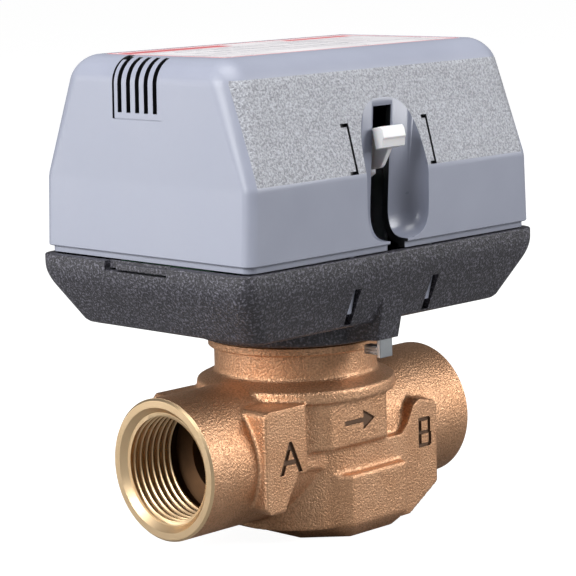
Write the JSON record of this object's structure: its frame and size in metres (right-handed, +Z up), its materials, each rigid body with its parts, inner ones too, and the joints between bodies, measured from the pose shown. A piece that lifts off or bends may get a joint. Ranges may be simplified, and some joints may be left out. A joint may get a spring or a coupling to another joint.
{
  "type": "motorised zone valve",
  "caption": "Two-way zone valve: cast bronze body with threaded ports and a twist-on box actuator with a manual lever, gear drive and hinged cover.",
  "frame": {"origin": "centre of the stem axis on the flat foot of the valve body, 21.3 mm below the port axis", "axes": "+X from port A to port B, -Y is the face with the manual lever, +Z up along the stem"},
  "size_m": [0.0982, 0.0676, 0.1137],
  "materials": {
    "cast_bronze": "sand-cast bronze",
    "brass": "machined brass",
    "stainless": "turned stainless steel",
    "zinc_steel": "zinc-plated pressed steel",
    "rubber": "EPDM rubber",
    "cover_plastic": "moulded plastic, light blue-grey",
    "base_plastic": "grained moulded plastic, charcoal",
    "white_plastic": "moulded acetal, white",
    "label_film": "printed polyester label",
    "board": "glass-epoxy circuit board",
    "terminal_green": "moulded terminal housing",
    "black_plastic": "moulded plastic, black",
    "red_plastic": "plastic, red-brown",
    "blue_plastic": "plastic, blue"
  },
  "bodies": {
    "valve": {"valve_body": "cast_bronze", "cartridge_cage": "brass", "cage_oring_lower": "rubber", "cage_oring_upper": "rubber", "bonnet": "brass", "bonnet_oring": "rubber", "gland_nut": "brass", "neck_collar": "brass"},
    "stem": {"valve_stem": "stainless", "piston_plug": "brass", "plug_oring_lower": "rubber", "plug_oring_upper": "rubber", "stem_nut": "stainless"},
    "actuator": {"base": "base_plastic", "gear_plate_left": "zinc_steel", "gear_plate_right": "zinc_steel", "plate_post_1": "zinc_steel", "plate_post_2": "zinc_steel", "plate_post_3": "zinc_steel", "plate_post_4": "zinc_steel", "frame_screw_1": "zinc_steel", "frame_screw_2": "zinc_steel", "frame_screw_3": "zinc_steel", "frame_screw_4": "zinc_steel", "lever_shaft": "stainless", "output_pin": "stainless", "second_pin": "stainless", "motor_flange": "zinc_steel", "motor_can": "zinc_steel", "motor_connector": "black_plastic", "circuit_board": "board", "terminal_block": "terminal_green", "terminal_screw_1": "zinc_steel", "terminal_screw_2": "zinc_steel", "terminal_screw_3": "zinc_steel", "terminal_screw_4": "zinc_steel", "terminal_screw_5": "zinc_steel", "suppressor_capacitor": "black_plastic", "limit_switch": "black_plastic", "cable_entry_insert": "base_plastic", "motor_lead_brown": "red_plastic", "motor_lead_blue": "blue_plastic"},
    "lid": {"cover": "cover_plastic", "cover_label": "label_film"},
    "lever": {"manual_lever": "white_plastic"},
    "yoke": {"rack_yoke": "zinc_steel"},
    "output": {"output_gear": "white_plastic"},
    "second": {"second_gear": "white_plastic"},
    "rotor": {"motor_pinion": "brass"},
    "plunger": {"switch_plunger": "red_plastic"},
    "latch": {"release_latch": "zinc_steel"}
  },
  "joints": [
    {"name": "actuator_twist", "type": "hinge", "parent": "valve", "child": "actuator", "pos_m": [0, 0, 0.05], "axis": [0, 0, 1], "range_deg": [0, 45]},
    {"name": "stem_lift", "type": "slide", "parent": "valve", "child": "stem", "axis": [0, 0, 1], "range_m": [0, 0.0084]},
    {"name": "cover_swing", "type": "hinge", "parent": "actuator", "child": "lid", "pos_m": [0, 0.03335, 0.0702], "axis": [-1, 0, 0], "range_deg": [0, 70]},
    {"name": "lever_turn", "type": "hinge", "parent": "actuator", "child": "lever", "pos_m": [0, -0.0135, 0.0838], "axis": [1, 0, 0], "range_deg": [0, 50]},
    {"name": "yoke_lift", "type": "slide", "parent": "actuator", "child": "yoke", "axis": [0, 0, 1], "range_m": [0, 0.0084]},
    {"name": "output_turn", "type": "hinge", "parent": "actuator", "child": "output", "pos_m": [0, 0.0087, 0.0838], "axis": [1, 0, 0], "range_deg": [-100, 0]},
    {"name": "second_turn", "type": "hinge", "parent": "actuator", "child": "second", "pos_m": [0, 0.01796, 0.07277], "axis": [1, 0, 0], "range_deg": [0, 300]},
    {"name": "motor_turn", "type": "hinge", "parent": "actuator", "child": "rotor", "pos_m": [0, 0.00795, 0.06958], "axis": [1, 0, 0], "range_deg": [-750, 0]},
    {"name": "plunger_press", "type": "slide", "parent": "actuator", "child": "plunger", "axis": [0, 0, 1], "range_m": [0, 0.0008], "stiffness_N_per_m": 200},
    {"name": "latch_press", "type": "slide", "parent": "actuator", "child": "latch", "axis": [0, 1, 0], "range_m": [0, 0.002], "stiffness_N_per_m": 400}
  ],
  "couplings": [
    {"joint": "yoke_lift", "follows": "lever_turn", "m_per_rad": 0.0096},
    {"joint": "stem_lift", "follows": "lever_turn", "m_per_rad": 0.0096},
    {"joint": "output_turn", "follows": "lever_turn", "ratio": -2},
    {"joint": "second_turn", "follows": "lever_turn", "ratio": 6},
    {"joint": "motor_turn", "follows": "lever_turn", "ratio": -15}
  ]
}
